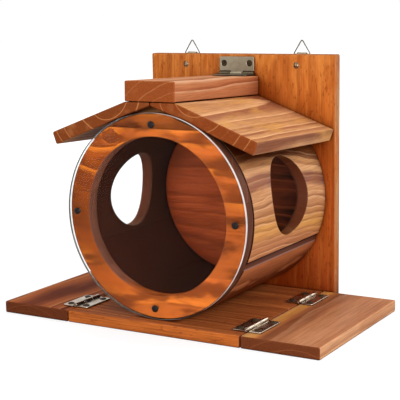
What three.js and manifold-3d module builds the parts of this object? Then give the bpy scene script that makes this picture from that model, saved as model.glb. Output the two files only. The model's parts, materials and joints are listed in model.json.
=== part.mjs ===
// Squirrel feeder box: a round barrel on a folding base, under a hinged gable roof.
// Millimetres, +Z up, +X to the right and -Y to the front. The origin is on the underside of
// the base, in the middle of its width and of its depth in front of the back board.

import * as THREE from 'three';
import { mergeVertices } from 'three/addons/utils/BufferGeometryUtils.js';
import Module from 'manifold-3d';

const wasm = await Module();
wasm.setup();

const degree = Math.PI / 180;

// Clearances
const seatGap = 0.3;
const runningGap = 0.6;
const overrun = 20;

// Base: a fixed middle board with a folding wing on each side
const baseDepth = 171;
const baseThickness = 11;
const wingWidth = 73.8;
const foldedWingGap = 0.4;

// Back board
const backOverhang = 11.5;
const backAboveRidge = 21.1;
const backThickness = 11;

// Barrel: front ring, curved walls and staves, and a back disc inside them
const barrelRadius = 91.8;
const wallThickness = 11.5;
const ringInset = 0.8;
const ringWidth = 20;
const ringThickness = 12;
const backDiscThickness = 12;
const wallTopAngle = 50 * degree;
const wallBottomAngle = -22.5 * degree;
const staveBottomAngle = -62 * degree;
const shoulderAngle = 5 * degree;
const shoulderDepth = 1.8;
const arcStep = 4 * degree;

// Squirrel holes, one through each side wall
const holeRadius = 35.6;
const rightHoleRise = 13;
const leftHoleRise = 7.6;
const holeForwardShift = 1.1;
const holeSides = 56;

// Clear window disc in front of the ring
const windowSetback = 9.9;
const windowThickness = 3;
const windowScrewInset = 10;

// Roof: two boards mitred at the ridge, under a square ridge block
const roofSlope = 20.6 * degree;
const roofFall = 1.8 * degree;
const roofOverhang = 14.2;
const roofThickness = 12;
const roofSideShift = -4.6;
const ridgeHalfWidth = 26;
const ridgeHeight = 18.2;
const ridgeTopAboveBarrel = 22.3;

// Butt hinges
const hingeLength = 38;
const leafThickness = 1.2;
const knuckleRadius = 1.9;
const pinRadius = 0.8;
const pinClearance = 0.3;
const wingLeafWidth = 13.7;
const wingHingeFrontInset = 31;
const wingHingeBackInset = 37;
const wingScrewSideInset = 5;
const wingScrewEndInset = 5.7;
const roofLeafWidth = 16.2;
const roofScrewSideInset = 6.4;
const roofScrewEndInset = 5;
const roofHingeShift = -2.4;
const knuckleSides = 16;

// Screws: each ends a little short of the far face of the wood that it holds in
const screwCover = 3;
const hingeScrewLength = seatGap + leafThickness + baseThickness - screwCover;
const backScrewLength = backThickness + seatGap + backDiscThickness - screwCover;
const windowScrewLength = windowThickness + seatGap + ringThickness - screwCover;
const hingeScrew = { headRadius: 2.7, headDepth: 1.5, shankRadius: 1.2, length: hingeScrewLength };
const backScrew = { headRadius: 3.4, headDepth: 2.4, shankRadius: 1.6, length: backScrewLength };
const windowScrew = { headRadius: 3.2, headHeight: 1.9, shankRadius: 1.4, length: windowScrewLength };
const screwClearance = 0.3;
const screwSides = 12;
const panEdgeShare = 0.45;
const panCrownShare = 0.62;
const backScrewHalfSpacing = 52;
const discScrewRise = 24;

// Hangers on the back of the back board
const hangerInset = 40.5;
const hangerScrewDrop = 10.6;
const hangerScrew = { headRadius: 2.8, headDepth: 1.6, shankRadius: 1.3, nutRadius: 2.6, nutHeight: 1.8 };
const strapWidth = 10;
const strapThickness = 0.8;
const strapTail = 6;
const eyeRadius = 1.9;
const eyeBoreRadius = 1.35;
const wireThickness = 1.2;
const loopWidth = 20.6;
const loopHeight = 16.1;
const eyeDrop = 0.5;
const loopCornerRadius = 1.9;

// Colours of the stained wood and the fittings
const colours = {
  middleBoard: 0xb8743f,
  wingBoard: 0xb07850,
  backBoard: 0xc1743c,
  ring: 0xc06a30,
  sideWall: 0xc09468,
  stave: 0x8f5f3c,
  backDisc: 0x6b3a24,
  roofBoard: 0xc89c72,
  ridge: 0xb98a66,
  window: 0xe6eeee,
  bronze: 0x6e6353,
  nickel: 0x9a8f7c,
  screw: 0x2c2a2a,
  wire: 0x77756c,
};

// Places worked out from the sizes above
const frontY = -baseDepth / 2;
const boardFaceY = baseDepth / 2;
const boardRearY = boardFaceY + backThickness;
const baseTopZ = baseThickness;
const pinRise = seatGap + knuckleRadius;
const seamX = barrelRadius + foldedWingGap - pinRise;
const barrelZ = baseTopZ + seatGap + barrelRadius;
const ridgeTopZ = barrelZ + barrelRadius + ridgeTopAboveBarrel;
const backTopZ = ridgeTopZ + backAboveRidge;
const backHalfWidth = seamX + backOverhang;
const roofHalfWidth = barrelRadius + roofOverhang;
const windowScrewCircle = barrelRadius - windowScrewInset;
const hangerHalfSpacing = backHalfWidth - hangerInset;
const windowBackY = frontY + windowSetback + windowThickness;
const ringFrontY = windowBackY + seatGap;
const ringBackY = ringFrontY + ringThickness;
const discBackY = boardFaceY - seatGap;
const discFrontY = discBackY - backDiscThickness;
const wallFrontY = ringBackY + seatGap;
const wallBackY = discBackY;
const wallInnerRadius = barrelRadius - wallThickness;
const ringRadius = barrelRadius - ringInset;
const discRadius = wallInnerRadius - seatGap;
const gapAngle = seatGap / barrelRadius;

// Materials
function wood(colour) {
  return new THREE.MeshStandardMaterial({ color: colour, roughness: 0.55, metalness: 0 });
}

function metal(colour) {
  return new THREE.MeshStandardMaterial({ color: colour, roughness: 0.4, metalness: 0.85 });
}

function acrylic(colour) {
  return new THREE.MeshStandardMaterial({
    color: colour, roughness: 0.05, metalness: 0, transparent: true, opacity: 0.25,
  });
}

// Solids: booleans on closed meshes
function solidOf(geometry) {
  const bare = geometry.clone();
  bare.deleteAttribute('normal');
  bare.deleteAttribute('uv');
  const merged = mergeVertices(bare);
  return new wasm.Manifold(new wasm.Mesh({
    numProp: 3,
    vertProperties: new Float32Array(merged.attributes.position.array),
    triVerts: new Uint32Array(merged.index.array),
  }));
}

function geometryOf(solid) {
  const mesh = solid.getMesh();
  const geometry = new THREE.BufferGeometry();
  geometry.setAttribute('position', new THREE.BufferAttribute(mesh.vertProperties, mesh.numProp));
  geometry.setIndex(new THREE.BufferAttribute(mesh.triVerts, 1));
  geometry.computeVertexNormals();
  return geometry;
}

function join(geometries) {
  return geometryOf(geometries.map(solidOf).reduce((whole, next) => whole.add(next)));
}

function cut(geometry, cutters) {
  return geometryOf(cutters.map(solidOf).reduce((rest, next) => rest.subtract(next), solidOf(geometry)));
}

// Shapes
function box(lowX, highX, lowY, highY, lowZ, highZ) {
  const geometry = new THREE.BoxGeometry(highX - lowX, highY - lowY, highZ - lowZ);
  return geometry.translate((lowX + highX) / 2, (lowY + highY) / 2, (lowZ + highZ) / 2);
}

// Extrudes an outline drawn in the XZ plane from lowY to highY
function prismAlongY(outline, lowY, highY) {
  const settings = { depth: highY - lowY, bevelEnabled: false };
  const geometry = new THREE.ExtrudeGeometry(outline, settings);
  return geometry.rotateX(Math.PI / 2).translate(0, highY, 0);
}

function rodAlongX(radius, lowX, highX, sides) {
  const geometry = new THREE.CylinderGeometry(radius, radius, highX - lowX, sides);
  return geometry.rotateZ(Math.PI / 2).translate((lowX + highX) / 2, 0, 0);
}

function arcPoints(radius, from, to) {
  const count = Math.max(1, Math.round(Math.abs(to - from) / arcStep));
  return Array.from({ length: count + 1 }, (unused, index) => {
    const angle = from + (to - from) * index / count;
    return new THREE.Vector2(radius * Math.cos(angle), radius * Math.sin(angle));
  });
}

function circlePath(radius) {
  return arcPoints(radius, 0, 2 * Math.PI).slice(0, -1);
}

// Pieces of the barrel are drawn about its axis
function barrelPiece(outline, lowY, highY, holes = []) {
  const shape = new THREE.Shape(outline);
  holes.forEach((hole) => shape.holes.push(new THREE.Path(hole)));
  return prismAlongY(shape, lowY, highY).translate(0, 0, barrelZ);
}

function mirroredAcrossX(geometry) {
  const mirrored = geometry.clone().scale(-1, 1, 1);
  const index = mirrored.index.array;
  for (let corner = 0; corner < index.length; corner += 3) {
    [index[corner], index[corner + 1]] = [index[corner + 1], index[corner]];
  }
  mirrored.computeVertexNormals();
  return mirrored;
}

// Screws stand on the Z axis, with the top of a flat head, or the seat of a raised one, at zero
function lathed(profile, sides = screwSides) {
  const points = profile.map(([radius, height]) => new THREE.Vector2(radius, height));
  return new THREE.LatheGeometry(points.reverse(), sides).rotateX(Math.PI / 2);
}

function flatScrew({ headRadius, headDepth, shankRadius, length }) {
  return lathed([
    [0, 0], [headRadius, 0], [shankRadius, -headDepth], [shankRadius, shankRadius - length], [0, -length],
  ]);
}

function flatScrewHole({ headRadius, headDepth, shankRadius, length }) {
  const shank = shankRadius + screwClearance;
  return lathed([
    [0, overrun], [headRadius + screwClearance, overrun], [headRadius + screwClearance, 0],
    [shank, -headDepth], [shank, -length - screwClearance], [0, -length - screwClearance],
  ]);
}

function panScrew({ headRadius, headHeight, shankRadius, length }) {
  return lathed([
    [0, seatGap + headHeight], [headRadius * panCrownShare, seatGap + headHeight],
    [headRadius, seatGap + headHeight * panEdgeShare], [headRadius, seatGap],
    [shankRadius, seatGap], [shankRadius, shankRadius - length], [0, -length],
  ]);
}

function panScrewHole({ shankRadius, length }) {
  const radius = shankRadius + screwClearance;
  const tip = -length - screwClearance;
  return lathed([[0, overrun], [radius, overrun], [radius, tip], [0, tip]]);
}

// The screw that holds a hanger: a flat head in front, a nut behind the strap
const hangerShankLength = backThickness + seatGap + strapThickness + seatGap;

function hangerScrewBody() {
  const { headRadius, headDepth, shankRadius, nutRadius, nutHeight } = hangerScrew;
  const nutTop = -hangerShankLength;
  return lathed([
    [0, 0], [headRadius, 0], [shankRadius, -headDepth], [shankRadius, nutTop], [nutRadius, nutTop],
    [nutRadius, nutTop - nutHeight], [0, nutTop - nutHeight],
  ]);
}

function hangerScrewHole() {
  return flatScrewHole({ ...hangerScrew, length: hangerShankLength });
}

// Places: each turns a piece made on the Z axis so that its head faces the way named
function placeUp(x, y, z) {
  return new THREE.Matrix4().makeTranslation(x, y, z);
}

function placeFront(x, y, z) {
  return placeUp(x, y, z).multiply(new THREE.Matrix4().makeRotationX(Math.PI / 2));
}

function placeRear(x, y, z) {
  return placeUp(x, y, z).multiply(new THREE.Matrix4().makeRotationX(-Math.PI / 2));
}

function at(matrix, geometry) {
  return geometry.clone().applyMatrix4(matrix);
}

// Hinge leaves lie on the plane z = 0, with the pin along X and the plate towards +Y
const middleKnuckleHalf = hingeLength / 6;
const outerKnuckles = [
  [-hingeLength / 2, -middleKnuckleHalf - seatGap / 2],
  [middleKnuckleHalf + seatGap / 2, hingeLength / 2],
];
const middleKnuckle = [[-middleKnuckleHalf + seatGap / 2, middleKnuckleHalf - seatGap / 2]];

function leafScrewPlaces(leafWidth, sideInset, endInset) {
  const reach = hingeLength / 2 - endInset;
  const top = seatGap + leafThickness;
  return [-reach, reach].map((x) => placeUp(x, leafWidth - sideInset, top));
}

function hingeLeaf(width, knuckles, holdsPin, screwPlaces) {
  const half = hingeLength / 2;
  const plateStart = knuckleRadius + runningGap;
  const leafTop = seatGap + leafThickness;
  const pieces = [box(-half, half, plateStart, width, seatGap, leafTop)];
  for (const [low, high] of knuckles) {
    pieces.push(rodAlongX(knuckleRadius, low, high, knuckleSides).translate(0, 0, pinRise));
    pieces.push(box(low, high, 0, plateStart + leafThickness, seatGap, leafTop));
  }
  if (holdsPin) {
    pieces.push(rodAlongX(pinRadius, -half, half, knuckleSides).translate(0, 0, pinRise));
  }
  const cutters = screwPlaces.map((place) => at(place, flatScrewHole(hingeScrew)));
  if (!holdsPin) {
    const bore = rodAlongX(pinRadius + pinClearance, -half, half, knuckleSides);
    cutters.push(bore.translate(0, 0, pinRise));
  }
  return cut(join(pieces), cutters);
}

const wingScrewPlaces = leafScrewPlaces(wingLeafWidth, wingScrewSideInset, wingScrewEndInset);
const roofScrewPlaces = leafScrewPlaces(roofLeafWidth, roofScrewSideInset, roofScrewEndInset);

// The wing hinges: a place for the leaf on each side of each seam
function wingHingePlace(x, y, plateTowards) {
  const turn = new THREE.Matrix4().makeRotationZ(-plateTowards * Math.PI / 2);
  return placeUp(x, y, baseTopZ).multiply(turn);
}

const wingHinges = [];
for (const [side, sign] of [['left', -1], ['right', 1]]) {
  const rows = [['front', frontY + wingHingeFrontInset], ['rear', boardFaceY - wingHingeBackInset]];
  for (const [row, y] of rows) {
    wingHinges.push({
      name: `wing_hinge_${side}_${row}`,
      side,
      inner: wingHingePlace(sign * seamX, y, -sign),
      outer: wingHingePlace(sign * seamX, y, sign),
    });
  }
}

function hingeScrewHoles(place, screwPlaces) {
  return screwPlaces.map((screw) => at(place.clone().multiply(screw), flatScrewHole(hingeScrew)));
}

// The roof hinge: its pin lies in the corner of the back board's face and the ridge block's top
const pinY = boardFaceY - pinRise;
const pinZ = ridgeTopZ + pinRise;
const backLeafPlace = placeFront(roofHingeShift, boardFaceY, pinZ);
const lidLeafPlace = new THREE.Matrix4()
  .makeTranslation(roofHingeShift, 0, -pinRise)
  .multiply(new THREE.Matrix4().makeRotationZ(Math.PI));

// Screws through the back board into the back disc and into the base's middle board
const rearScrewPlaces = [
  ['back_screw_upper_left', placeRear(-backScrewHalfSpacing, boardRearY, barrelZ + discScrewRise)],
  ['back_screw_upper_right', placeRear(backScrewHalfSpacing, boardRearY, barrelZ + discScrewRise)],
  ['back_screw_lower_left', placeRear(-backScrewHalfSpacing, boardRearY, baseThickness / 2)],
  ['back_screw_lower_right', placeRear(backScrewHalfSpacing, boardRearY, baseThickness / 2)],
];
const rearScrewHoles = rearScrewPlaces.map(([, place]) => at(place, flatScrewHole(backScrew)));

// Base boards
function middleBoard() {
  const half = seamX - runningGap / 2;
  const board = box(-half, half, frontY, boardFaceY - seatGap, 0, baseTopZ);
  const hinges = wingHinges.flatMap((hinge) => hingeScrewHoles(hinge.inner, wingScrewPlaces));
  return cut(board, [...hinges, ...rearScrewHoles]);
}

function wingBoard(sign, side) {
  const inner = seamX + runningGap / 2;
  const ends = [sign * inner, sign * (seamX + wingWidth)];
  const board = box(Math.min(...ends), Math.max(...ends), frontY, boardFaceY - runningGap, 0, baseTopZ);
  const hinges = wingHinges.filter((hinge) => hinge.side === side);
  return cut(board, hinges.flatMap((hinge) => hingeScrewHoles(hinge.outer, wingScrewPlaces)));
}

// Back board
const hangerScrewZ = backTopZ - hangerScrewDrop;
const hangers = [['left', -hangerHalfSpacing], ['right', hangerHalfSpacing]];

function backBoard() {
  const board = box(-backHalfWidth, backHalfWidth, boardFaceY, boardRearY, 0, backTopZ);
  const hangerHoles = hangers.map(([, x]) => at(placeFront(x, boardFaceY, hangerScrewZ), hangerScrewHole()));
  const hingeHoles = hingeScrewHoles(backLeafPlace, roofScrewPlaces);
  return cut(board, [...hangerHoles, ...hingeHoles, ...rearScrewHoles]);
}

// Roof, drawn about the hinge pin: the boards' upper ends are cut level under the ridge block
const roofBackY = pinRise - runningGap;
const ridgeBottomZ = -pinRise - ridgeHeight;
const boardCrownZ = ridgeBottomZ - seatGap;
const slopeRise = Math.tan(roofSlope);
const roofApexZ = boardCrownZ + ridgeHalfWidth * slopeRise;
const undersideApexZ = roofApexZ - roofThickness / Math.cos(roofSlope);
const eaveZ = roofApexZ - roofHalfWidth * slopeRise;
const eaveLean = -(eaveZ - roofThickness) * Math.sin(roofFall);
const roofFrontY = ringFrontY - pinY + eaveLean;

function roofBoard(sign) {
  const mitreX = seatGap / 2;
  const eaveInset = roofThickness * Math.sin(roofSlope);
  const eaveDrop = roofThickness * Math.cos(roofSlope);
  const outline = new THREE.Shape([
    new THREE.Vector2(mitreX, undersideApexZ - mitreX * slopeRise),
    new THREE.Vector2(roofHalfWidth - eaveInset, eaveZ - eaveDrop),
    new THREE.Vector2(roofHalfWidth, eaveZ),
    new THREE.Vector2(ridgeHalfWidth, boardCrownZ),
    new THREE.Vector2(mitreX, boardCrownZ),
  ]);
  const board = geometryOf(solidOf(prismAlongY(outline, roofFrontY, roofBackY)));
  const sided = sign > 0 ? board : mirroredAcrossX(board);
  return sided.translate(roofSideShift, 0, 0);
}

function ridgeBlock() {
  const low = roofSideShift - ridgeHalfWidth;
  const high = roofSideShift + ridgeHalfWidth;
  const block = box(low, high, roofFrontY, roofBackY, ridgeBottomZ, -pinRise);
  return cut(block, hingeScrewHoles(lidLeafPlace, roofScrewPlaces));
}

// The space that the closed roof takes, with its seat's clearance, cut from what lies under it
const roofPlace = new THREE.Matrix4()
  .makeTranslation(0, pinY, pinZ)
  .multiply(new THREE.Matrix4().makeRotationX(-roofFall));

function roofSpace() {
  const reach = roofHalfWidth + overrun;
  const apex = undersideApexZ - seatGap / Math.cos(roofSlope);
  const outline = new THREE.Shape([
    new THREE.Vector2(-reach, apex - reach * slopeRise),
    new THREE.Vector2(0, apex),
    new THREE.Vector2(reach, apex - reach * slopeRise),
    new THREE.Vector2(reach, overrun),
    new THREE.Vector2(-reach, overrun),
  ]);
  const space = prismAlongY(outline, roofFrontY - overrun, roofBackY + overrun);
  return at(roofPlace, space.translate(roofSideShift, 0, 0));
}

// Barrel
function frontRing(screwHoles) {
  const bore = circlePath(ringRadius - ringWidth);
  const ring = barrelPiece(circlePath(ringRadius), ringFrontY, ringBackY, [bore]);
  return cut(ring, [roofSpace(), ...screwHoles]);
}

function backDisc() {
  return cut(barrelPiece(circlePath(discRadius), discFrontY, discBackY), rearScrewHoles);
}

function arcBoard(from, to) {
  return [...arcPoints(barrelRadius, from, to), ...arcPoints(wallInnerRadius, to, from)];
}

// Each wall is cut on its own side, because the roof sits a little off the middle
function sideWall(fromAngle, toAngle, holeFromX, holeToX, holeRise) {
  const wall = barrelPiece(arcBoard(fromAngle, toAngle), wallFrontY, wallBackY);
  const hole = rodAlongX(holeRadius, holeFromX, holeToX, holeSides);
  hole.translate(0, (wallFrontY + wallBackY) / 2 - holeForwardShift, barrelZ + holeRise);
  return cut(wall, [hole, roofSpace()]);
}

function rightSideWall() {
  return sideWall(wallBottomAngle, wallTopAngle, 0, barrelRadius + overrun, rightHoleRise);
}

function leftSideWall() {
  return sideWall(
    Math.PI - wallTopAngle,
    Math.PI - wallBottomAngle,
    -barrelRadius - overrun,
    0,
    leftHoleRise,
  );
}

// The lower stave has a flat shoulder along its top edge, below the side wall
function lowerStave() {
  const top = wallBottomAngle - gapAngle;
  const bottom = staveBottomAngle + gapAngle / 2;
  const shoulderRadius = barrelRadius - shoulderDepth;
  const outline = [
    new THREE.Vector2(shoulderRadius * Math.cos(top), shoulderRadius * Math.sin(top)),
    ...arcPoints(wallInnerRadius, top, bottom),
    ...arcPoints(barrelRadius, bottom, top - shoulderAngle),
  ];
  return geometryOf(solidOf(barrelPiece(outline, wallFrontY, wallBackY)));
}

function bottomStave() {
  const end = staveBottomAngle - gapAngle / 2;
  return barrelPiece(arcBoard(-Math.PI - end, end), wallFrontY, wallBackY);
}

// Window and its four screws, at the top, the left, the bottom and the right of the ring
const windowScrewPlaces = [['top', 90], ['left', 180], ['bottom', 270], ['right', 0]].map(([side, angle]) => {
  const x = windowScrewCircle * Math.cos(angle * degree);
  const z = barrelZ + windowScrewCircle * Math.sin(angle * degree);
  return [`window_screw_${side}`, placeFront(x, frontY + windowSetback, z)];
});
const windowScrewHoles = windowScrewPlaces.map(([, place]) => at(place, panScrewHole(windowScrew)));

function windowDisc() {
  const disc = barrelPiece(circlePath(barrelRadius), frontY + windowSetback, windowBackY);
  return cut(disc, windowScrewHoles);
}

// Hangers: a strap with an eye at its top, and a wire loop that swings in the eye
const eyeY = boardRearY + seatGap + eyeRadius;
const eyeZ = backTopZ - eyeDrop;

function hangerStrap(x) {
  const halfStrap = strapWidth / 2;
  const strapEnd = hangerScrewZ - strapTail - eyeZ;
  const plate = box(-halfStrap, halfStrap, -eyeRadius, strapThickness - eyeRadius, strapEnd, 0);
  const eye = rodAlongX(eyeRadius, -halfStrap, halfStrap, knuckleSides);
  const bore = rodAlongX(eyeBoreRadius, -halfStrap - overrun, halfStrap + overrun, knuckleSides);
  const strap = cut(join([plate, eye]), [bore]).translate(x, eyeY, eyeZ);
  return cut(strap, [at(placeFront(x, boardFaceY, hangerScrewZ), hangerScrewHole())]);
}

// A closed triangle of wire, with its lower side along the X axis through the eye
function roundedTriangle(halfWidth, bottom, top, radius) {
  const corners = [
    new THREE.Vector2(-halfWidth, bottom), new THREE.Vector2(halfWidth, bottom), new THREE.Vector2(0, top),
  ];
  const outline = new THREE.Path();
  corners.forEach((corner, index) => {
    const before = corners[(index + corners.length - 1) % corners.length];
    const after = corners[(index + 1) % corners.length];
    const start = corner.clone().add(before.clone().sub(corner).setLength(radius));
    const end = corner.clone().add(after.clone().sub(corner).setLength(radius));
    if (index === 0) outline.moveTo(start.x, start.y);
    else outline.lineTo(start.x, start.y);
    outline.quadraticCurveTo(corner.x, corner.y, end.x, end.y);
  });
  outline.closePath();
  return outline;
}

function hangerLoop() {
  const halfWire = wireThickness / 2;
  const halfWidth = loopWidth / 2;
  const sideTilt = Math.atan2(halfWidth, loopHeight);
  const cornerReach = wireThickness / Math.tan((Math.PI / 2 - sideTilt) / 2);
  const crownReach = wireThickness / Math.sin(sideTilt);
  const outer = roundedTriangle(halfWidth, -halfWire, loopHeight - halfWire, loopCornerRadius);
  const inner = roundedTriangle(
    halfWidth - cornerReach, halfWire, loopHeight - halfWire - crownReach, loopCornerRadius / 2,
  );
  const shape = new THREE.Shape(outer.getPoints(4));
  shape.holes.push(new THREE.Path(inner.getPoints(4)));
  return geometryOf(solidOf(prismAlongY(shape, -halfWire, halfWire)));
}

// Assembly
function named(name, geometry, material, place) {
  const mesh = new THREE.Mesh(geometry, material);
  mesh.name = name;
  if (place) mesh.applyMatrix4(place);
  return mesh;
}

function addBaseAndBack(group) {
  group.add(named('base_middle_board', middleBoard(), wood(colours.middleBoard)));
  group.add(named('base_wing_left', wingBoard(-1, 'left'), wood(colours.wingBoard)));
  group.add(named('base_wing_right', wingBoard(1, 'right'), wood(colours.wingBoard)));
  group.add(named('back_board', backBoard(), wood(colours.backBoard)));
  for (const [name, place] of rearScrewPlaces) {
    group.add(named(name, flatScrew(backScrew), metal(colours.screw), place));
  }
}

function addWingHinges(group) {
  for (const hinge of wingHinges) {
    const innerLeaf = hingeLeaf(wingLeafWidth, outerKnuckles, true, wingScrewPlaces);
    const outerLeaf = hingeLeaf(wingLeafWidth, middleKnuckle, false, wingScrewPlaces);
    group.add(named(`${hinge.name}_inner_leaf`, innerLeaf, metal(colours.bronze), hinge.inner));
    group.add(named(`${hinge.name}_outer_leaf`, outerLeaf, metal(colours.bronze), hinge.outer));
    addHingeScrews(group, `${hinge.name}_inner_screw`, hinge.inner, wingScrewPlaces);
    addHingeScrews(group, `${hinge.name}_outer_screw`, hinge.outer, wingScrewPlaces);
  }
}

function addHingeScrews(group, name, leafPlace, screwPlaces) {
  screwPlaces.forEach((screw, index) => {
    const place = leafPlace.clone().multiply(screw);
    group.add(named(`${name}_${index + 1}`, flatScrew(hingeScrew), metal(colours.screw), place));
  });
}

function addBarrel(group) {
  const stave = lowerStave();
  group.add(named('barrel_back_disc', backDisc(), wood(colours.backDisc)));
  group.add(named('barrel_side_wall_right', rightSideWall(), wood(colours.sideWall)));
  group.add(named('barrel_side_wall_left', leftSideWall(), wood(colours.sideWall)));
  group.add(named('barrel_lower_stave_right', stave, wood(colours.stave)));
  group.add(named('barrel_lower_stave_left', mirroredAcrossX(stave), wood(colours.stave)));
  group.add(named('barrel_bottom_stave', bottomStave(), wood(colours.stave)));
  group.add(named('front_ring', frontRing(windowScrewHoles), wood(colours.ring)));
  group.add(named('window_disc', windowDisc(), acrylic(colours.window)));
  for (const [name, place] of windowScrewPlaces) {
    group.add(named(name, panScrew(windowScrew), metal(colours.screw), place));
  }
}

function addRoof(group) {
  const roof = new THREE.Group();
  roof.applyMatrix4(roofPlace);
  roof.add(named('roof_board_left', roofBoard(-1), wood(colours.roofBoard)));
  roof.add(named('roof_board_right', roofBoard(1), wood(colours.roofBoard)));
  roof.add(named('ridge_block', ridgeBlock(), wood(colours.ridge)));
  const lidLeaf = hingeLeaf(roofLeafWidth, outerKnuckles, true, roofScrewPlaces);
  roof.add(named('roof_hinge_lid_leaf', lidLeaf, metal(colours.nickel), lidLeafPlace));
  addHingeScrews(roof, 'roof_hinge_lid_screw', lidLeafPlace, roofScrewPlaces);
  group.add(roof);
  const backLeaf = hingeLeaf(roofLeafWidth, middleKnuckle, false, roofScrewPlaces);
  group.add(named('roof_hinge_back_leaf', backLeaf, metal(colours.nickel), backLeafPlace));
  addHingeScrews(group, 'roof_hinge_back_screw', backLeafPlace, roofScrewPlaces);
}

function addHangers(group) {
  for (const [side, x] of hangers) {
    group.add(named(`hanger_strap_${side}`, hangerStrap(x), metal(colours.nickel)));
    group.add(named(`hanger_loop_${side}`, hangerLoop(), metal(colours.wire), placeUp(x, eyeY, eyeZ)));
    const screwPlace = placeFront(x, boardFaceY, hangerScrewZ);
    group.add(named(`hanger_screw_${side}`, hangerScrewBody(), metal(colours.nickel), screwPlace));
  }
}

const group = new THREE.Group();
addBaseAndBack(group);
addWingHinges(group);
addBarrel(group);
addRoof(group);
addHangers(group);

export default group;
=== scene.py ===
# Looks of the squirrel feeder box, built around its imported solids.
# Metres, +Z up, +X to the right wing, +Y to the back board.

import json
import math

import bmesh
import bpy
from mathutils import Matrix, Vector

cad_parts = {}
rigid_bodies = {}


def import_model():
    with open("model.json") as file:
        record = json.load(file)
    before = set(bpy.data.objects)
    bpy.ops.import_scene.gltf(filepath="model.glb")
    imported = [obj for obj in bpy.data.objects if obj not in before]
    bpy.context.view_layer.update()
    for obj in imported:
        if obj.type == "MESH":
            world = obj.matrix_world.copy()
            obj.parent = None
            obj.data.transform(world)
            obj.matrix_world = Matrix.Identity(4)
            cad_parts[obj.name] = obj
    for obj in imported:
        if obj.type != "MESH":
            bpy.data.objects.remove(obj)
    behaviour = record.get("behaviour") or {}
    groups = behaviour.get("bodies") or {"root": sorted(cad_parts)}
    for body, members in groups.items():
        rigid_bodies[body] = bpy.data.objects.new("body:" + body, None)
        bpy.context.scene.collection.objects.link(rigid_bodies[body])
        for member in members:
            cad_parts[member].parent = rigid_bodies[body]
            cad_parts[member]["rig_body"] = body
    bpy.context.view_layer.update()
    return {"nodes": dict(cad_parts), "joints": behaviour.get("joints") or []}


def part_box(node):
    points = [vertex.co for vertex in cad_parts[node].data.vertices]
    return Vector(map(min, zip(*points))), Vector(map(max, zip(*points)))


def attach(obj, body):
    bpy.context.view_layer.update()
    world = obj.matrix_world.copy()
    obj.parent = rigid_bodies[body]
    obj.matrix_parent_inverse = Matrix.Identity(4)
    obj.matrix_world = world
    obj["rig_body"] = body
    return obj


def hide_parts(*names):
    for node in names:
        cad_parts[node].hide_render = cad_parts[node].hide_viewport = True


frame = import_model()

mm = 0.001
degree = math.pi / 180

# Sizes that the solids' boxes don't give
wall_thickness = 11.5 * mm
ring_width = 20 * mm
wall_bottom_angle = -22.5 * degree
wall_top_angle = 50 * degree
stave_bottom_angle = -62 * degree
shoulder_angle = 5 * degree
shoulder_depth = 1.8 * mm
hole_radius = 35.6 * mm
hole_rises = {1: 13 * mm, -1: 7.6 * mm}
hole_forward_shift = 1.1 * mm
roof_fall = 1.8 * degree
seat_gap = 0.3 * mm

# Fineness of round shapes, and the distance below which two points are one
turn_steps = 192
screw_steps = 36
arc_step = 2 * degree
same_point = 0.001 * mm

# Rounding of edges
board_round = 1.3 * mm
roof_round = 2.0 * mm
barrel_round = 0.7 * mm
stave_round = 0.7 * barrel_round
metal_round = 0.22 * mm
tube_round = 0.2 * mm

# Turns that point the Z axis of a turned shape at the front or at the rear
to_front = Matrix.Rotation(math.pi / 2, 4, "X")
to_rear = Matrix.Rotation(-math.pi / 2, 4, "X")


# Mesh helpers

def at(x, y, z):
    """A move by x, y and z."""
    return Matrix.Translation((x, y, z))


def linked(name, data):
    """A new object in the scene."""
    made = bpy.data.objects.new(name, data)
    bpy.context.scene.collection.objects.link(made)
    return made


def edited(obj, change):
    """The object, with its mesh changed by change(bm)."""
    bm = bmesh.new()
    bm.from_mesh(obj.data)
    change(bm)
    bm.to_mesh(obj.data)
    bm.free()
    return obj


def object_of(name, build):
    """A new object whose mesh is what build(bm) makes."""
    def change(bm):
        build(bm)
        bmesh.ops.recalc_face_normals(bm, faces=bm.faces)
    return edited(linked(name, bpy.data.meshes.new(name)), change)


def apply_modifiers(obj):
    """Puts the result of the object's modifiers into its mesh."""
    bpy.context.view_layer.update()
    graph = bpy.context.evaluated_depsgraph_get()
    mesh = bpy.data.meshes.new_from_object(obj.evaluated_get(graph))
    mesh.name = obj.name
    obj.modifiers.clear()
    obj.data = mesh
    return obj


def soften(obj, width, segments=3, angle=30 * degree):
    """Rounds the edges sharper than the angle and shades the rest smooth."""
    for polygon in obj.data.polygons:
        polygon.use_smooth = True
    bevel = obj.modifiers.new("round", "BEVEL")
    bevel.width = width
    bevel.segments = segments
    bevel.limit_method = "ANGLE"
    bevel.angle_limit = angle
    bevel.harden_normals = True
    bevel.use_clamp_overlap = True
    return apply_modifiers(obj)


def smooth(obj, angle=35 * degree):
    """Shades smooth, apart from edges sharper than the angle."""
    for polygon in obj.data.polygons:
        polygon.use_smooth = True
    obj.data.set_sharp_from_angle(angle=angle)
    return obj


def flat_faces(obj, axis):
    """Shades the faces that look along an axis flat, so that nothing bends in them."""
    straight = 0.999
    for polygon in obj.data.polygons:
        polygon.use_smooth = abs(polygon.normal["XYZ".index(axis)]) < straight
    return obj


def boolean(obj, other, operation):
    """Cuts other from obj or joins it to obj, and removes other."""
    step = obj.modifiers.new(operation.lower(), "BOOLEAN")
    step.object = other
    step.operation = operation
    step.solver = "EXACT"
    apply_modifiers(obj)
    bpy.data.objects.remove(other)
    return obj


def drill(obj, profile, place):
    """Cuts a turned profile from obj, at a place."""
    hole = object_of("hole", turned_build(profile, screw_steps))
    hole.data.transform(place)
    return boolean(obj, hole, "DIFFERENCE")


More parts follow.
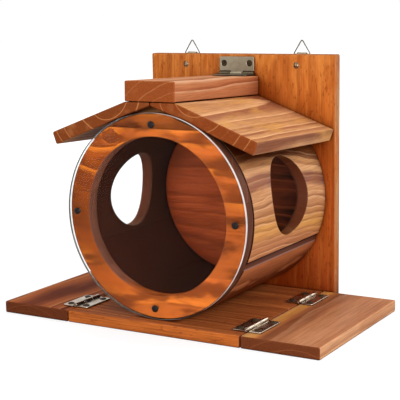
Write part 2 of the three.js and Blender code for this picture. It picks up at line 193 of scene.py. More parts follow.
def trimmed(obj, planes):
    """Takes away what lies beyond each plane, given by a point and its outward normal."""
    def change(bm):
        for point, normal in planes:
            cut = bmesh.ops.bisect_plane(
                bm, geom=[*bm.verts, *bm.edges, *bm.faces], plane_co=point, plane_no=normal,
                dist=same_point, clear_outer=True,
            )
            edges = [item for item in cut["geom_cut"] if isinstance(item, bmesh.types.BMEdge)]
            if edges:
                bmesh.ops.holes_fill(bm, edges=[edge for edge in edges if edge.is_boundary])
        bmesh.ops.recalc_face_normals(bm, faces=bm.faces)
    return edited(obj, change)


def join_flat_faces(bm):
    """Makes one face of each flat stretch."""
    bmesh.ops.remove_doubles(bm, verts=bm.verts, dist=same_point)
    bmesh.ops.dissolve_limit(bm, angle_limit=1 * degree, verts=bm.verts, edges=bm.edges)


def solid_build(mesh):
    """A solid's own shape, without the normals that are stored with it."""
    def build(bm):
        points = [bm.verts.new(vertex.co) for vertex in mesh.vertices]
        for polygon in mesh.polygons:
            bm.faces.new([points[index] for index in polygon.vertices])
        join_flat_faces(bm)
    return build


def box_build(low, high):
    def build(bm):
        middle = (Vector(low) + Vector(high)) / 2
        spread = Vector(high) - Vector(low)
        place = Matrix.Translation(middle) @ Matrix.Diagonal((*spread, 1))
        bmesh.ops.create_cube(bm, size=1, matrix=place)
    return build


def join_loops(bm, near, far):
    """Faces between two loops of points."""
    for index in range(len(near)):
        after = (index + 1) % len(near)
        bm.faces.new((near[index], near[after], far[after], far[index]))


def prism_build(outline, axis, low, high):
    """An outline in the plane across an axis (X: y, z; Y: x, z; Z: x, y), from low to high on it."""
    def point(u, v, w):
        return {"X": (w, u, v), "Y": (u, w, v), "Z": (u, v, w)}[axis]

    def build(bm):
        near = [bm.verts.new(point(u, v, low)) for u, v in outline]
        far = [bm.verts.new(point(u, v, high)) for u, v in outline]
        bm.faces.new(near)
        bm.faces.new(far)
        join_loops(bm, near, far)
    return build


def turned_build(profile, steps, closed=False):
    """A profile of (radius, height) turned about the Z axis. An open one starts and ends on it."""
    def loop_at(bm, radius, height):
        if radius == 0:
            return [bm.verts.new((0, 0, height))]
        turns = [math.tau * step / steps for step in range(steps)]
        return [bm.verts.new((radius * math.cos(turn), radius * math.sin(turn), height)) for turn in turns]

    def build(bm):
        loops = [loop_at(bm, radius, height) for radius, height in profile]
        pairs = list(zip(loops, loops[1:]))
        if closed:
            pairs.append((loops[-1], loops[0]))
        for one, two in pairs:
            for step in range(steps):
                after = (step + 1) % steps
                corners = [one[step % len(one)], one[after % len(one)]]
                corners += [two[after % len(two)], two[step % len(two)]]
                bm.faces.new(list(dict.fromkeys(corners)))
    return build


def arc(centre_u, centre_v, radius, start, end, steps):
    """Points on an arc, from one angle to the other."""
    angles = [start + (end - start) * step / steps for step in range(steps + 1)]
    return [(centre_u + radius * math.cos(angle), centre_v + radius * math.sin(angle)) for angle in angles]


# What the frame says

def nodes_named(start):
    return sorted(name for name in frame["nodes"] if name.startswith(start))


def middle_of(node):
    low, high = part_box(node)
    return (low + high) / 2


def corners_in(node, place):
    """Lowest and highest corner of a node in the frame of a place."""
    back = place.inverted()
    points = [back @ vertex.co for vertex in frame["nodes"][node].data.vertices]
    low = Vector([min(point[axis] for point in points) for axis in range(3)])
    high = Vector([max(point[axis] for point in points) for axis in range(3)])
    return low, high


def head_place(node, facing, tilt=Matrix()):
    """Where a screw's head looks out of its solid's box, up, to the front or to the rear."""
    low, high = corners_in(node, tilt)
    middle = (low + high) / 2
    if facing == "up":
        return at(middle.x, middle.y, high.z)
    if facing == "front":
        return at(middle.x, low.y, middle.z) @ to_front
    return at(middle.x, high.y, middle.z) @ to_rear


def joint_place(name):
    return next(Vector(joint["pos_m"]) for joint in frame["joints"] if joint["name"] == name)


def settle(obj, node, material):
    """Gives a piece its finish and its node's body, and hides the node."""
    obj.data.materials.clear()
    obj.data.materials.append(material)
    body = frame["nodes"][node]["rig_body"]
    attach(obj, body)
    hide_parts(node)
    return obj


# Places that the solids give

ring_low, ring_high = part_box("front_ring")
disc_low, disc_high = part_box("barrel_back_disc")
wall_low, wall_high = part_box("barrel_side_wall_right")
window_low, window_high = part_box("window_disc")
barrel_radius = window_high.x
barrel_z = window_low.z + barrel_radius
wall_inner_radius = barrel_radius - wall_thickness
barrel_turn = at(0, 0, barrel_z) @ to_front
roof_pin = joint_place("roof_lift")
roof_place = Matrix.Translation(roof_pin) @ Matrix.Rotation(-roof_fall, 4, "X")


def roof_planes():
    """The two planes of the roof's underside, with the clearance of its seat."""
    planes = []
    for node in ("roof_board_left", "roof_board_right"):
        under = min(frame["nodes"][node].data.polygons, key=lambda face: face.normal.z)
        normal = -under.normal
        planes.append((under.center - normal * seat_gap, normal))
    return planes


# Material helpers

white = (1, 1, 1, 1)
clear = (0, 0, 0, 1)


def srgb(code):
    """A colour written as on screen, in the renderer's own scale."""
    parts = [int(code[start:start + 2], 16) / 255 for start in (1, 3, 5)]
    return (*[part / 12.92 if part <= 0.04045 else ((part + 0.055) / 1.055) ** 2.4 for part in parts], 1)


class Tree:
    """Short forms for building the nodes of a material or of the world."""

    def __init__(self, owner, output="OutputMaterial"):
        owner.use_nodes = True
        self.owner = owner
        self.nodes = owner.node_tree.nodes
        self.links = owner.node_tree.links
        self.nodes.clear()
        self.output = self.add(output)

    def put(self, socket, value):
        if isinstance(value, bpy.types.NodeSocket):
            self.links.new(value, socket)
        elif value is not None:
            socket.default_value = value

    def add(self, kind, **settings):
        node = self.nodes.new("ShaderNode" + kind)
        for name, value in settings.items():
            setattr(node, name, value)
        return node

    def feed(self, node, *values):
        """Fills the node's first inputs, and gives its first output."""
        for socket, value in zip(node.inputs, values):
            self.put(socket, value)
        return node.outputs[0]

    def math(self, operation, one, two=None, clamp=False):
        return self.feed(self.add("Math", operation=operation, use_clamp=clamp), one, two)

    def plus(self, one, two):
        return self.math("ADD", one, two)

    def minus(self, one, two):
        return self.math("SUBTRACT", one, two)

    def times(self, one, two, clamp=False):
        return self.math("MULTIPLY", one, two, clamp)

    def vector(self, operation, one, two=None):
        node = self.add("VectorMath", operation=operation)
        first = self.feed(node, one, two)
        return node.outputs["Value"] if operation in ("LENGTH", "DOT_PRODUCT") else first

    def join(self, x, y, z):
        return self.feed(self.add("CombineXYZ"), x, y, z)

    def split(self, vector):
        node = self.add("SeparateXYZ")
        self.feed(node, vector)
        return tuple(node.outputs)

    def noise(self, vector, scales, detail=2.0, roughness=0.5):
        """Noise as a number and as a colour, with its own scale on each axis."""
        node = self.add("TexNoise")
        self.put(node.inputs["Vector"], self.vector("MULTIPLY", vector, scales))
        node.inputs["Scale"].default_value = 1
        node.inputs["Detail"].default_value = detail
        node.inputs["Roughness"].default_value = roughness
        return node.outputs["Fac"], node.outputs["Color"]

    def chance(self, value):
        """A number from 0 to 1 that belongs to the value."""
        node = self.add("TexWhiteNoise", noise_dimensions="1D")
        self.put(node.inputs["W"], value)
        return node.outputs["Value"]

    def ease(self, value, low, high, to_low=0.0, to_high=1.0):
        """A smooth step between two values."""
        node = self.add("MapRange", interpolation_type="SMOOTHSTEP")
        return self.feed(node, value, low, high, to_low, to_high)

    def mix(self, factor, one, two, blend="MIX"):
        node = self.add("Mix", data_type="RGBA", blend_type=blend)
        self.put(node.inputs[0], factor)
        self.put(node.inputs[6], one)
        self.put(node.inputs[7], two)
        return node.outputs[2]

    def shaded(self, colour, shade):
        return self.mix(1.0, colour, shade, "MULTIPLY")

    def stained(self, colour, value, low, high, strength, tone):
        """Mixes a tone into a colour as the value rises from low to high."""
        return self.mix(self.times(self.ease(value, low, high), strength), colour, tone)

    def ramp(self, value, stops):
        node = self.add("ValToRGB")
        self.put(node.inputs[0], value)
        elements = node.color_ramp.elements
        elements.remove(elements[1])
        elements[0].position, elements[0].color = stops[0]
        for position, colour in stops[1:]:
            elements.new(position).color = colour
        return node.outputs[0]

    def code_ramp(self, value, stops):
        return self.ramp(value, [(position, srgb(code)) for position, code in stops])

    def gap_shade(self, reach, darkest, clearest, code):
        """White in the open and the shade given in gaps, between two shares of openness."""
        gap = self.add("AmbientOcclusion", samples=8)
        gap.inputs["Distance"].default_value = reach
        return self.mix(self.ease(gap.outputs["AO"], darkest, clearest), srgb(code), white)

    def flatness(self, radius):
        """One on a flat face, and less within a radius of an edge."""
        rounded = self.add("Bevel", samples=4)
        rounded.inputs["Radius"].default_value = radius
        plain = self.add("NewGeometry")
        return self.vector("DOT_PRODUCT", rounded.outputs[0], plain.outputs["Normal"])

    def bump(self, height, strength, distance):
        node = self.add("Bump")
        node.inputs["Strength"].default_value = strength
        node.inputs["Distance"].default_value = distance
        self.put(node.inputs["Height"], height)
        return node.outputs[0]

    def in_sight(self):
        """One to the eye, to gloss and through glass, and zero for the light that falls on things."""
        path = self.add("LightPath")
        seen = self.math("MAXIMUM", path.outputs["Is Camera Ray"], path.outputs["Is Glossy Ray"])
        return self.math("MAXIMUM", seen, path.outputs["Is Transmission Ray"])

    def principled(self, **values):
        node = self.add("BsdfPrincipled")
        for name, value in values.items():
            self.put(node.inputs[name.replace("_", " ")], value)
        self.put(self.output.inputs[0], node.outputs[0])
        return node


# Wood

# The two axes across the grain and the one along it
grain_orders = {"X": (1, 2, 0), "Y": (0, 2, 1), "Z": (0, 1, 2)}
# How far the figure jumps from one glued strip to the next
strip_jump_along = 0.23
strip_jump_across = 0.031
# How far painted shade reaches from a gap, with stain in the narrow ones, and how far an edge is rubbed
# thin
fine_gap_reach = 5 * mm
broad_shade_reach = 45 * mm
worn_reach = 1.6 * mm
# Painted shadow and highlight along the flat shoulder under a side wall, from the wall down: a dark shadow
# line, shade over the shoulder, then a pale highlight at its lower edge
shoulder_painted_shadow_and_highlight = (
    (0.0, "#140805"), (0.28, "#180a06"), (0.4, "#4a2a22"), (0.86, "#553229"), (0.95, "#886860"),
)


def glued_strips(t, across, joints):
    """The number of joints below a place, and one on the glue itself."""
    strip, glue = 0.0, 0.0
    for joint in joints:
        strip = t.plus(strip, t.math("GREATER_THAN", across, joint))
        offset = t.math("ABSOLUTE", t.minus(across, joint))
        glue = t.math("MAXIMUM", glue, t.ease(offset, 0.1 * mm, 0.45 * mm, 1.0, 0.0))
    return strip, glue


def strip_shades(t, colour, across, joints, shades, glue):
    """Gives each glued strip its own shade, and the glue a dark line."""
    shade = shades[0]
    for joint, lower, upper in zip(joints, shades, shades[1:]):
        shade = t.plus(shade, t.times(t.math("GREATER_THAN", across, joint), upper - lower))
    return t.mix(t.times(glue, 0.45), t.shaded(colour, shade), srgb("#3a1a0d"))


def knot_marks(t, point, along, across, knots):
    """One in the middle of a knot, falling to zero around it."""
    mark = 0.0
    for knot_along, knot_across, radius in knots:
        off_along = t.times(t.minus(along, knot_along), 0.7)
        reach = t.vector("LENGTH", t.join(off_along, t.minus(across, knot_across), 0.0))
        wobble = t.noise(point, (260, 260, 260), 3.0)[0]
        reach = t.plus(reach, t.times(t.minus(wobble, 0.5), radius * 1.6))
        mark = t.math("MAXIMUM", mark, t.ease(reach, radius * 0.4, radius * 2.6, 1.0, 0.0))
    return mark


def barrel_painted_shade(t, colour, parts, shoulder):
    """Painted shade on the cut faces and the inside of the barrel, and a painted shadow and highlight on
    the flat shoulder under a side wall.
    """
    height = t.minus(parts[2], barrel_z)
    reach = t.vector("LENGTH", t.join(parts[0], 0.0, height))
    # Painted shade: the cut faces of the hole dark brown, the inside near black
    cut = t.ease(reach, barrel_radius - 1.4 * mm, barrel_radius - 0.5 * mm, 0.85, 0.0)
    inside = t.ease(reach, wall_inner_radius + 0.5 * mm, wall_inner_radius + 2 * mm, 0.92, 0.0)
    colour = t.mix(inside, t.mix(cut, colour, srgb("#5a2c1a")), srgb("#2a110a"))
    if not shoulder:
        return colour
    # Painted shadow under the side wall's edge, and a painted highlight at the shoulder's lower edge
    rise = t.math("ARCTAN2", height, t.math("ABSOLUTE", parts[0]))
    depth = t.math("DIVIDE", t.minus(wall_bottom_angle, rise), shoulder_angle)
    outside = t.ease(reach, barrel_radius - 5 * mm, barrel_radius - 4 * mm)
    shown = t.times(t.ease(depth, 1.04, 1.12, 0.9, 0.0), outside)
    return t.mix(shown, colour, t.code_ramp(depth, shoulder_painted_shadow_and_highlight))


def wood(name, grain, heart, ring, tones, ends, figure=6 * mm, seed=0.0, arch=(0.0, 0.0), fibre=0.22,
         streak=0.3, blotch=0.35, patch=1.0, contrast=1.0, fleck=0.0, joints=(), shades=(), knots=(),
         bands=None, edge=None, barrel=False, shoulder=False, fine_stain_and_shade=True, broad_painted_shade="#a8866e"):
    """Stained softwood. grain is the axis of the log, heart its pith in the two axes across, ring the
    width of a year, figure how far the years wander, and arch a place along the grain and how fast
    they fall away from it. tones are the dark, middle, light and blotch colours of a long face, ends
    the colours of an end face and of its pale lines. bands colours the board from one side to the
    other, and edge its narrow long faces. seed gives a board a figure of its own. fibre, streak,
    blotch, contrast and fleck are the strengths of fibres, streaks, patches, years and short dashes,
    and patch is how small the patches are. joints are the heights of the glue, and shades belong to
    the strips between them. A knot is a place along the grain, one across it and a radius. barrel
    gives a piece of the barrel painted shade on its inside and its cut faces, and shoulder a painted
    shadow and highlight on the flat under a side wall. fine_stain_and_shade darkens the colour close to a
    gap, as stain and as painted shade, and broad_painted_shade is the colour of the painted shade further
    out."""
    t = Tree(bpy.data.materials.new(name))
    place = t.add("TexCoord")
    point = place.outputs["Object"]
    parts = t.split(point)
    normal = t.split(place.outputs["Normal"])
    across_u, across_v, lengthwise = (parts[axis] for axis in grain_orders[grain])

    def looks_along(axis):
        return t.math("ABSOLUTE", normal["XYZ".index(axis)])

    # Growth rings: the distance from a wandering heart, in years, pushed aside by knots
    strip, glue = glued_strips(t, across_v, joints)
    knot = knot_marks(t, point, lengthwise, across_v, knots)
    along = t.plus(lengthwise, t.times(strip, strip_jump_along))
    local = t.join(t.plus(across_u, seed * 0.37), across_v, t.plus(along, seed))
    wide = t.vector("SUBTRACT", t.noise(local, (9, 9, 4.5), 2.0)[1], (0.5, 0.5, 0.5))
    fine = t.vector("SUBTRACT", t.noise(local, (46, 46, 22), 2.0)[1], (0.5, 0.5, 0.5))
    wide_warp = t.vector("MULTIPLY", wide, (figure * 4,) * 3)
    warp = t.vector("ADD", wide_warp, t.vector("MULTIPLY", fine, (figure,) * 3))
    from_arch = t.minus(lengthwise, arch[0])
    fall = t.times(t.times(from_arch, from_arch), arch[1])
    off_u = t.plus(t.minus(across_u, heart[0]), t.times(strip, strip_jump_across))
    off_v = t.plus(t.minus(across_v, heart[1]), fall)
    reach = t.vector("MULTIPLY", t.vector("ADD", t.join(off_u, off_v, 0.0), warp), (1, 1, 0))
    years = t.math("DIVIDE", t.vector("LENGTH", reach), ring)
    uneven = t.noise(t.join(years, seed * 3, 0.0), (0.55, 1, 1), 1.0)[0]
    years = t.plus(t.plus(years, t.times(uneven, 1.6)), t.times(knot, 1.4))
    year = t.math("FRACT", years)
    odds = t.chance(t.math("FLOOR", years))

    # Long faces: the middle tone or bands, dark late wood, pale early wood, patches and streaks
    dark, middle, light, tint = (srgb(code) for code in tones)
    base = middle
    if bands:
        axis, first, last, stops = bands
        spread = t.plus(t.plus(parts["XYZ".index(axis)], t.split(warp)[0]), fall)
        base = t.code_ramp(t.math("DIVIDE", t.minus(spread, first), last - first), stops)
    if edge:
        axis, code = edge
        base = t.mix(t.ease(looks_along(axis), 0.55, 0.85), base, srgb(code))
    late = t.ramp(year, [(0.0, white), (0.08, white), (0.42, clear), (0.9, clear), (0.985, white)])
    early = t.ramp(year, [(0.0, clear), (0.62, clear), (0.86, white), (0.93, white), (0.97, clear)])
    strength = t.ease(odds, 0.0, 1.0, 0.25 * contrast, contrast)
    face = t.mix(t.times(late, strength, clamp=True), base, dark)
    face = t.mix(t.times(early, t.times(strength, 0.8), clamp=True), face, light)
    cloudy = t.vector("ADD", local, t.vector("MULTIPLY", fine, (0.008, 0.008, 0.02)))
    patches = t.noise(cloudy, (26 * patch, 26 * patch, 9 * patch), 3.0, 0.6)[0]
    face = t.stained(face, patches, 0.46, 0.6, blotch, tint)
    streaks = t.noise(local, (330, 330, 7), 3.0, 0.6)[0]
    face = t.stained(face, streaks, 0.48, 0.72, streak, dark)

    # End faces: dark, because they drink the stain, with thin pale lines
    end_base, end_line = (srgb(code) for code in ends)
    line = t.ramp(year, [
        (0.0, end_base), (0.84, end_base), (0.89, end_line), (0.91, end_line), (0.96, end_base),
    ])
    end = t.mix(t.ease(odds, 0.1, 0.7, 0.15, 1.0), end_base, line)
    end = t.stained(end, t.noise(local, (900, 900, 900), 2.0, 0.6)[0], 0.5, 0.75, 0.3, dark)
    end = t.stained(end, t.noise(local, (60, 60, 60), 2.0, 0.6)[0], 0.5, 0.75, 0.35, end_line)
    colour = t.mix(t.ease(looks_along(grain), 0.25, 0.6), face, end)

    # Fibres, and what only some boards have
    fibres = t.noise(local, (1500, 1500, 38), 2.0, 0.6)[0]
    colour = t.shaded(colour, t.ease(fibres, 0.25, 0.75, 1 - fibre, 1 + fibre * 0.6))
    if joints:
        colour = strip_shades(t, colour, across_v, joints, shades, glue)
    if knots:
        colour = t.stained(colour, knot, 0.2, 0.9, 0.8, srgb("#5c2a14"))
    if fleck:
        dashes = t.noise(local, (520, 520, 160), 1.0, 0.5)[0]
        colour = t.stained(colour, dashes, 0.62, 0.72, fleck, srgb("#7c3412"))
    if barrel:
        colour = barrel_painted_shade(t, colour, parts, shoulder)

    # Painted shade in the gaps, with stain in the narrow ones, and stain rubbed thin along the edges
    if fine_stain_and_shade:
        colour = t.shaded(colour, t.gap_shade(fine_gap_reach, 0.1, 0.85, "#6a5648"))
    if broad_painted_shade:
        colour = t.shaded(colour, t.gap_shade(broad_shade_reach, 0.25, 0.85, broad_painted_shade))
    rubbed = t.ease(t.flatness(worn_reach), 0.8, 0.99, 1.0, 0.0)
    colour = t.mix(t.times(rubbed, t.ease(patches, 0.35, 0.7, 0.0, 0.3)), colour, light)

    height = t.plus(t.times(fibres, 0.6), t.times(year, 0.5))
    t.principled(
        Base_Color=colour, Roughness=t.ease(streaks, 0.3, 0.7, 0.42, 0.6), Coat_Weight=0.08,
        Coat_Roughness=0.25, Specular_IOR_Level=0.0, Normal=t.bump(height, 0.35, 0.2 * mm),
    )
    return t.owner


# Metal, acrylic and floor

def plate(name, code, tarnish_code, worn_code, rough, seed, worn=0.4, metal=1.0, gloss=0.5):
    """Plated metal, with darker tarnish, fine scratches and worn edges; with metal=0.0 a blackened
    one, whose finish shines only as far as its gloss."""
    t = Tree(bpy.data.materials.new(name))
    spot = t.vector("ADD", t.add("TexCoord").outputs["Object"], (seed, seed, seed))
    clouds = t.noise(spot, (160, 160, 160), 4.0, 0.6)[0]
    colour = t.mix(t.ease(clouds, 0.42, 0.75), srgb(code), srgb(tarnish_code))
    colour = t.mix(t.ease(t.flatness(0.8 * mm), 0.75, 0.98, worn, 0.0), colour, srgb(worn_code))
    scratches = t.noise(spot, (2400, 2400, 2400), 2.0, 0.7)[0]
    t.principled(
        Base_Color=colour, Metallic=metal, Specular_IOR_Level=gloss,
        Roughness=t.ease(clouds, 0.3, 0.75, rough - 0.07, rough + 0.15),
        Normal=t.bump(scratches, 0.12, 0.03 * mm),
    )
    return t.owner


def clear_acrylic():
    """Clear sheet, with faint scuffs and a white sawn edge, which painted shade darkens where other parts
    come close; light passes through it into the barrel.
    """
    t = Tree(bpy.data.materials.new("acrylic_clear"))
    place = t.add("TexCoord")
    scuffs = t.noise(place.outputs["Object"], (90, 90, 90), 3.0, 0.6)[0]
    facing = t.math("ABSOLUTE", t.split(place.outputs["Normal"])[1])
    sawn = t.noise(place.outputs["Object"], (60, 900, 60), 2.0, 0.6)[0]
    edge = t.ease(facing, 0.2, 0.8, 1.0, 0.0)
    sawn_edge = t.times(edge, t.ease(sawn, 0.2, 0.8, 0.5, 0.9))
    # Painted shade on the sawn edge where other parts come close, as under the roof
    sawn_colour_painted_shade = t.shaded(srgb("#f2f1ee"), t.gap_shade(25 * mm, 0.2, 0.62, "#4a463c"))
    shader = t.principled(
        Base_Color=t.mix(edge, srgb("#fbfdfd"), sawn_colour_painted_shade), IOR=1.09,
        Roughness=t.math("MAXIMUM", t.ease(scuffs, 0.5, 0.85, 0.0, 0.04), t.times(edge, 0.4)),
        Transmission_Weight=t.minus(1.0, sawn_edge),
    )
    passing = t.feed(t.add("BsdfTransparent"), (0.97, 0.98, 0.98, 1))
    shadow = t.add("LightPath").outputs["Is Shadow Ray"]
    t.put(t.output.inputs[0], t.feed(t.add("MixShader"), shadow, shader.outputs[0], passing))
    return t.owner


def floor_material():
    """Pale floor: it glows to the eye, to gloss and through glass, and still takes the shadow."""
    t = Tree(bpy.data.materials.new("floor_pale"))
    paint = t.feed(t.add("BsdfDiffuse"), (0.42, 0.42, 0.42, 1))
    reach = t.vector("LENGTH", t.add("TexCoord").outputs["Object"])
    level = t.times(t.in_sight(), t.ease(reach, 0.4, 1.5, 0.66, 1.0))
    glow = t.feed(t.add("Emission"), white, level)
    t.put(t.output.inputs[0], t.feed(t.add("AddShader"), paint, glow))
    return t.owner


# Slot and wood of each board

wall_ends = ("#5a3120", "#84573c")
# Painted shade on the side walls under the roof and beside the back board, darker than on other boards
wall_painted_shade = "#6a4838"
stave_tones = ("#7c4428", "#b0683f", "#c27c52", "#96583a")
stave_ends = ("#5a3120", "#7a4a30")

woods = {
    "base_middle_board": ("base_wood", wood(
        "wood_middle_board", "X", (0.03, -0.05), 6.5 * mm, ("#74361a", "#a85c30", "#d27c40", "#904a22"),
        ("#7a3f22", "#a9683e"), seed=0.13, figure=4 * mm, fibre=0.25, streak=0.4, fleck=0.5,
        contrast=0.65, edge=("Y", "#ca6c2e"), broad_painted_shade=None)),
    "base_wing_left": ("wing_wood", wood(
        "wood_wing_left", "Y", (-0.135, -0.05), 6 * mm, ("#5e2410", "#aa5a2e", "#ca804c", "#843e1c"),
        ("#66321a", "#7d4426"), seed=0.31, figure=3 * mm, contrast=1.8, broad_painted_shade=None)),
    "base_wing_right": ("wing_wood", wood(
        "wood_wing_right", "Y", (0.14, -0.06), 11 * mm, ("#8c5233", "#bd7e55", "#d6a074", "#a2623f"),
        ("#6e371c", "#85492a"), seed=0.57, figure=3.5 * mm, contrast=0.6, edge=("X", "#d29a70"),
        broad_painted_shade=None, bands=("X", 0.09, 0.164, (
            (0.0, "#c08240"), (0.12, "#dc9848"), (0.2, "#b0693c"), (0.26, "#74402a"), (0.38, "#95583c"),
            (0.5, "#bb7d55"), (0.8, "#c28660"), (1.0, "#b97a54"),
        )))),
    "back_board": ("back_wood", wood(
        "wood_back_board", "Z", (0.02, 0.16), 9 * mm, ("#8c3f14", "#c56c28", "#e0913f", "#b05a20"),
        ("#a06238", "#bd8658"), seed=0.71, figure=7 * mm, fleck=0.5, streak=0.35, fibre=0.2,
        contrast=0.45, patch=2.2, blotch=0.6, edge=("X", "#b8865a"), bands=("Z", 0.0, 0.238, (
            (0.0, "#ac5124"), (0.4, "#bd5b25"), (0.62, "#ba5e24"), (0.8, "#ca702f"), (1.0, "#d07f3c"),
        )))),
    "barrel_back_disc": ("disc_wood", wood(
        "wood_back_disc", "X", (0.11, 0.02), 9 * mm, ("#5e2410", "#9e4420", "#b8572a", "#7a3418"),
        ("#6e3824", "#8a4e34"), seed=0.9, blotch=0.5, patch=1.5, contrast=0.55,
        # Painted shade: the disc darkens towards its right, where the ring and the right wall shade the
        # inside of the barrel
        bands=("X", 0.0, disc_high.x, (
            (0.0, "#a04622"), (0.3, "#863a1b"), (0.55, "#582612"), (0.8, "#32170b"), (1.0, "#2c130a"),
        )))),
    "barrel_side_wall_right": ("wall_wood", wood(
        "wood_wall_right", "Y", (0.06, -0.1), 7 * mm, ("#7a4630", "#be8a62", "#e6b484", "#b57444"),
        wall_ends, seed=0.22, arch=(-0.042, 0.8), contrast=0.75, barrel=True, broad_painted_shade=wall_painted_shade,
        bands=("Z", barrel_z - 36 * mm, barrel_z + 70 * mm, (
            (0.1, "#b8784e"), (0.22, "#d0944e"), (0.36, "#b47a50"), (0.53, "#cc966a"), (0.57, "#7a4e48"),
            (0.64, "#7a4e48"), (0.67, "#dca674"), (0.76, "#d89e68"), (0.8, "#7e4c34"), (0.85, "#b87844"),
        )))),
    "barrel_side_wall_left": ("wall_wood", wood(
        "wood_wall_left", "Y", (-0.06, -0.1), 4.8 * mm, ("#7e4a36", "#c08656", "#e4ae7a", "#b57444"),
        wall_ends, seed=0.47, figure=5 * mm, arch=(0.01, 0.8), contrast=0.8, barrel=True,
        broad_painted_shade=wall_painted_shade)),
    "barrel_lower_stave_right": ("stave_wood", wood(
        "wood_stave_right", "Y", (0.12, -0.01), 12 * mm, stave_tones, stave_ends, seed=0.64,
        figure=3 * mm, barrel=True, shoulder=True)),
    "barrel_lower_stave_left": ("stave_wood", wood(
        "wood_stave_left", "Y", (-0.12, -0.01), 12 * mm, stave_tones, stave_ends, seed=0.82,
        figure=3 * mm, barrel=True, shoulder=True)),
    "barrel_bottom_stave": ("stave_wood", wood(
        "wood_stave_bottom", "Y", (0.0, -0.06), 10 * mm, stave_tones, stave_ends, seed=0.05,
        figure=4 * mm, barrel=True)),
    "front_ring": ("ring_wood", wood(
        "wood_ring", "X", (0.06, 0.09), 13 * mm, ("#54240a", "#a04a14", "#cc7222", "#5c260c"),
        ("#5f382a", "#7a4c38"), seed=2.1, figure=8 * mm, blotch=0.85, patch=2.3, streak=0.35,
        contrast=0.9, joints=(0.055, 0.1215, 0.181), shades=(1.12, 0.85, 1.05, 0.55),
        knots=((-0.0455, 0.171, 3.4 * mm),), fine_stain_and_shade=False, broad_painted_shade=None,
        bands=("X", -barrel_radius, barrel_radius, (
            (0.0, "#7e380e"), (0.3, "#8e4214"), (0.45, "#a8541e"), (1.0, "#9e4c1c"),
        )))),
    "roof_board_left": ("roof_wood", wood(
        "wood_roof_left", "Y", (-0.05, 0.211), 11 * mm, ("#9c5c38", "#c28a54", "#dea873", "#c98a4e"),
        ("#82401c", "#c07a48"), seed=0.17, figure=2.5 * mm, contrast=0.8, edge=("X", "#8f5638"))),
    "roof_board_right": ("roof_wood", wood(
        "wood_roof_right", "Y", (0.04, 0.213), 11 * mm, ("#93553a", "#c0875a", "#e4ae7c", "#d09450"),
        ("#88401a", "#b4703f"), seed=0.29, figure=2.5 * mm, contrast=0.9, blotch=0.6, patch=1.5,
        edge=("X", "#845037"))),
    "ridge_block": ("ridge_wood", wood(
        "wood_ridge", "Y", (0.03, 0.15), 12 * mm, ("#8f4c30", "#c88a62", "#e0b28c", "#bb7a50"),
        ("#984c22", "#b0683c"), seed=0.53, figure=3 * mm, contrast=0.8, edge=("X", "#b4714a"))),
}

bronze = plate("bronze_antique", "#b3a492", "#9c8c78", "#7d705f", 0.25, 0.1, worn=0.75)
nickel = plate("nickel_antique", "#8f8470", "#857a65", "#cfc6b2", 0.36, 0.3)
# A darker copy of the nickel for the lid leaf: painted shade for the dark surroundings that it reflects
painted_dark_nickel = plate("nickel_painted_shade", "#5c5140", "#4c4234", "#8d826c", 0.36, 0.5, worn=0.2)
brown = plate("screw_brown", "#382a1b", "#241a10", "#5e4c34", 0.4, 0.7, metal=0.0, gloss=0.12)
bright = plate("nickel_bright", "#94795a", "#5c4630", "#f0e6d0", 0.3, 0.6)
wire = plate("wire_zinc", "#77746c", "#55524c", "#a8a49a", 0.3, 0.8)
black = plate("screw_black", "#1a1210", "#120d0c", "#483c38", 0.26, 0.4, metal=0.0, gloss=0.15)


# Boards

def wooden(obj, node):
    slot, material = woods[node]
    return settle(obj, node, material)


def flat_boards():
    for node in ("base_middle_board", "base_wing_left", "base_wing_right", "back_board"):
        board = soften(object_of(node + "_fine", box_build(*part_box(node))), board_round)
        if node == "back_board":
            countersink(board)
        wooden(board, node)


def countersink(board):
    """Opens the back board over the flat heads of its screws, on both of its faces."""
    shank = 1.2 * mm
    depth = 2.6 * mm
    straight = 0.2 * mm
    above = 2 * mm
    for start, radius, facing in (("back_screw", 3.8 * mm, "rear"), ("hanger_screw", 3.2 * mm, "front")):
        sink = [(0, -depth), (shank, -depth), (radius, -straight), (radius, above), (0, above)]
        for node in nodes_named(start):
            drill(board, sink, head_place(node, facing))
    flat_faces(smooth(board), "Y")


def roof_boards():
    for node in ("roof_board_left", "roof_board_right"):
        board = object_of(node + "_fine", solid_build(frame["nodes"][node].data))
        wooden(soften(board, roof_round, angle=15 * degree), node)
    low, high = corners_in("ridge_block", roof_place)
    block = object_of("ridge_block_fine", box_build(low, high))
    block.data.transform(roof_place)
    wooden(soften(block, board_round), "ridge_block")


# Barrel

def disc_profile(inner, outer, low, high, edge):
    """A flat ring's or disc's section with rounded corners, from its inner to its outer radius."""
    quarter = math.pi / 2
    rounds = [(outer - edge, low + edge), (outer - edge, high - edge)]
    if inner:
        rounds += [(inner + edge, high - edge), (inner + edge, low + edge)]
    corners = []
    for turn, (radius, height) in enumerate(rounds):
        corners += arc(radius, height, edge, (turn - 1) * quarter, turn * quarter, 3)
    return corners if inner else [(0, low), *corners, (0, high)]


def barrel_ring():
    outer = ring_high.x
    profile = disc_profile(outer - ring_width, outer, -ring_high.y, -ring_low.y, barrel_round)
    ring = object_of("front_ring_fine", turned_build(profile, turn_steps, closed=True))
    ring.data.transform(barrel_turn)
    wooden(flat_faces(smooth(trimmed(ring, roof_planes())), "Y"), "front_ring")


def barrel_back():
    profile = disc_profile(0, disc_high.x, -disc_high.y, -disc_low.y, barrel_round)
    disc = object_of("barrel_back_disc_fine", turned_build(profile, turn_steps))
    disc.data.transform(barrel_turn)
    wooden(flat_faces(smooth(disc), "Y"), "barrel_back_disc")


